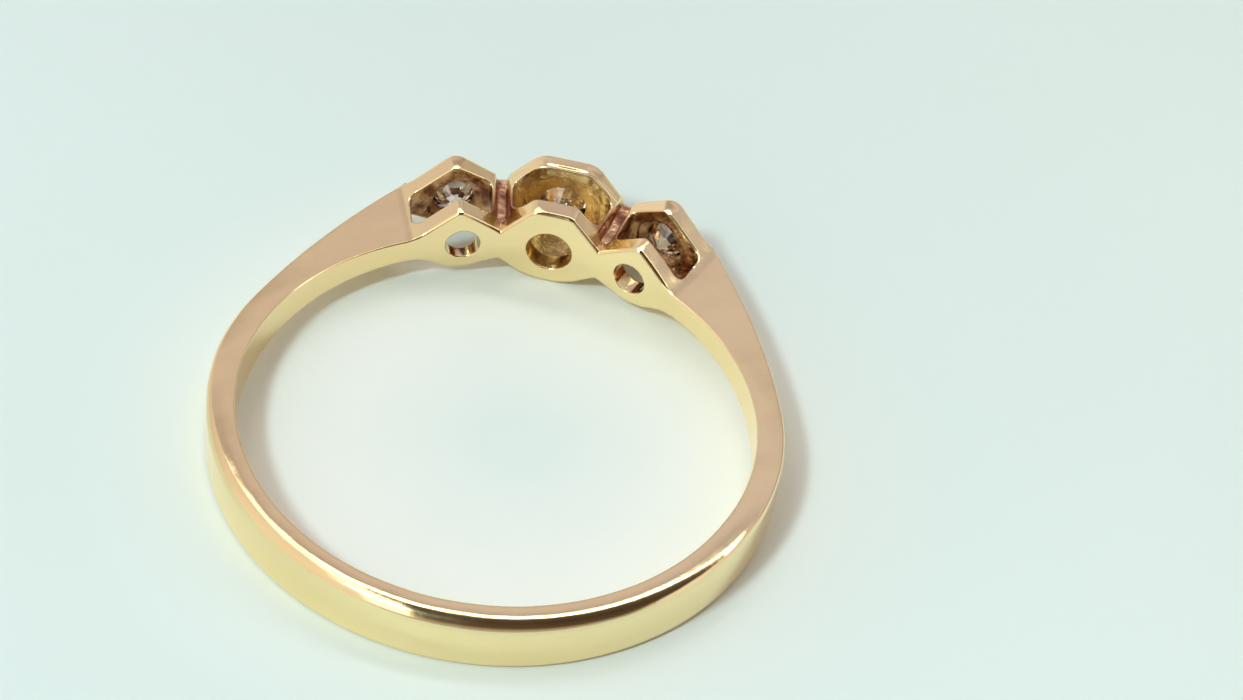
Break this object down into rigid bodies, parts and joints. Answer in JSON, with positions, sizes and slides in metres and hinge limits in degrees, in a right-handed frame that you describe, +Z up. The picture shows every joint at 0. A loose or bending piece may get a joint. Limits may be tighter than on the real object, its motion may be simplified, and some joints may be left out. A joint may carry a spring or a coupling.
{
  "type": "finger ring",
  "caption": "Gold finger ring lying on its side, a row of pierced six and eight sided collets with round cut stones on a tapering band.",
  "frame": {"origin": "centre of the base of the box round the ring, on the surface that the ring lies on", "axes": "+Z up from the surface, close to the finger's axis; +Y from the back of the band to the stones; +X to the right seen from the back of the band"},
  "size_m": [0.0188, 0.0211, 0.0033],
  "materials": {
    "gold": "polished",
    "clear_stone": "polished"
  },
  "bodies": {
    "root": {"ring_mount": "gold", "stone_left": "clear_stone", "stone_middle": "clear_stone", "stone_right": "clear_stone"}
  },
  "joints": []
}
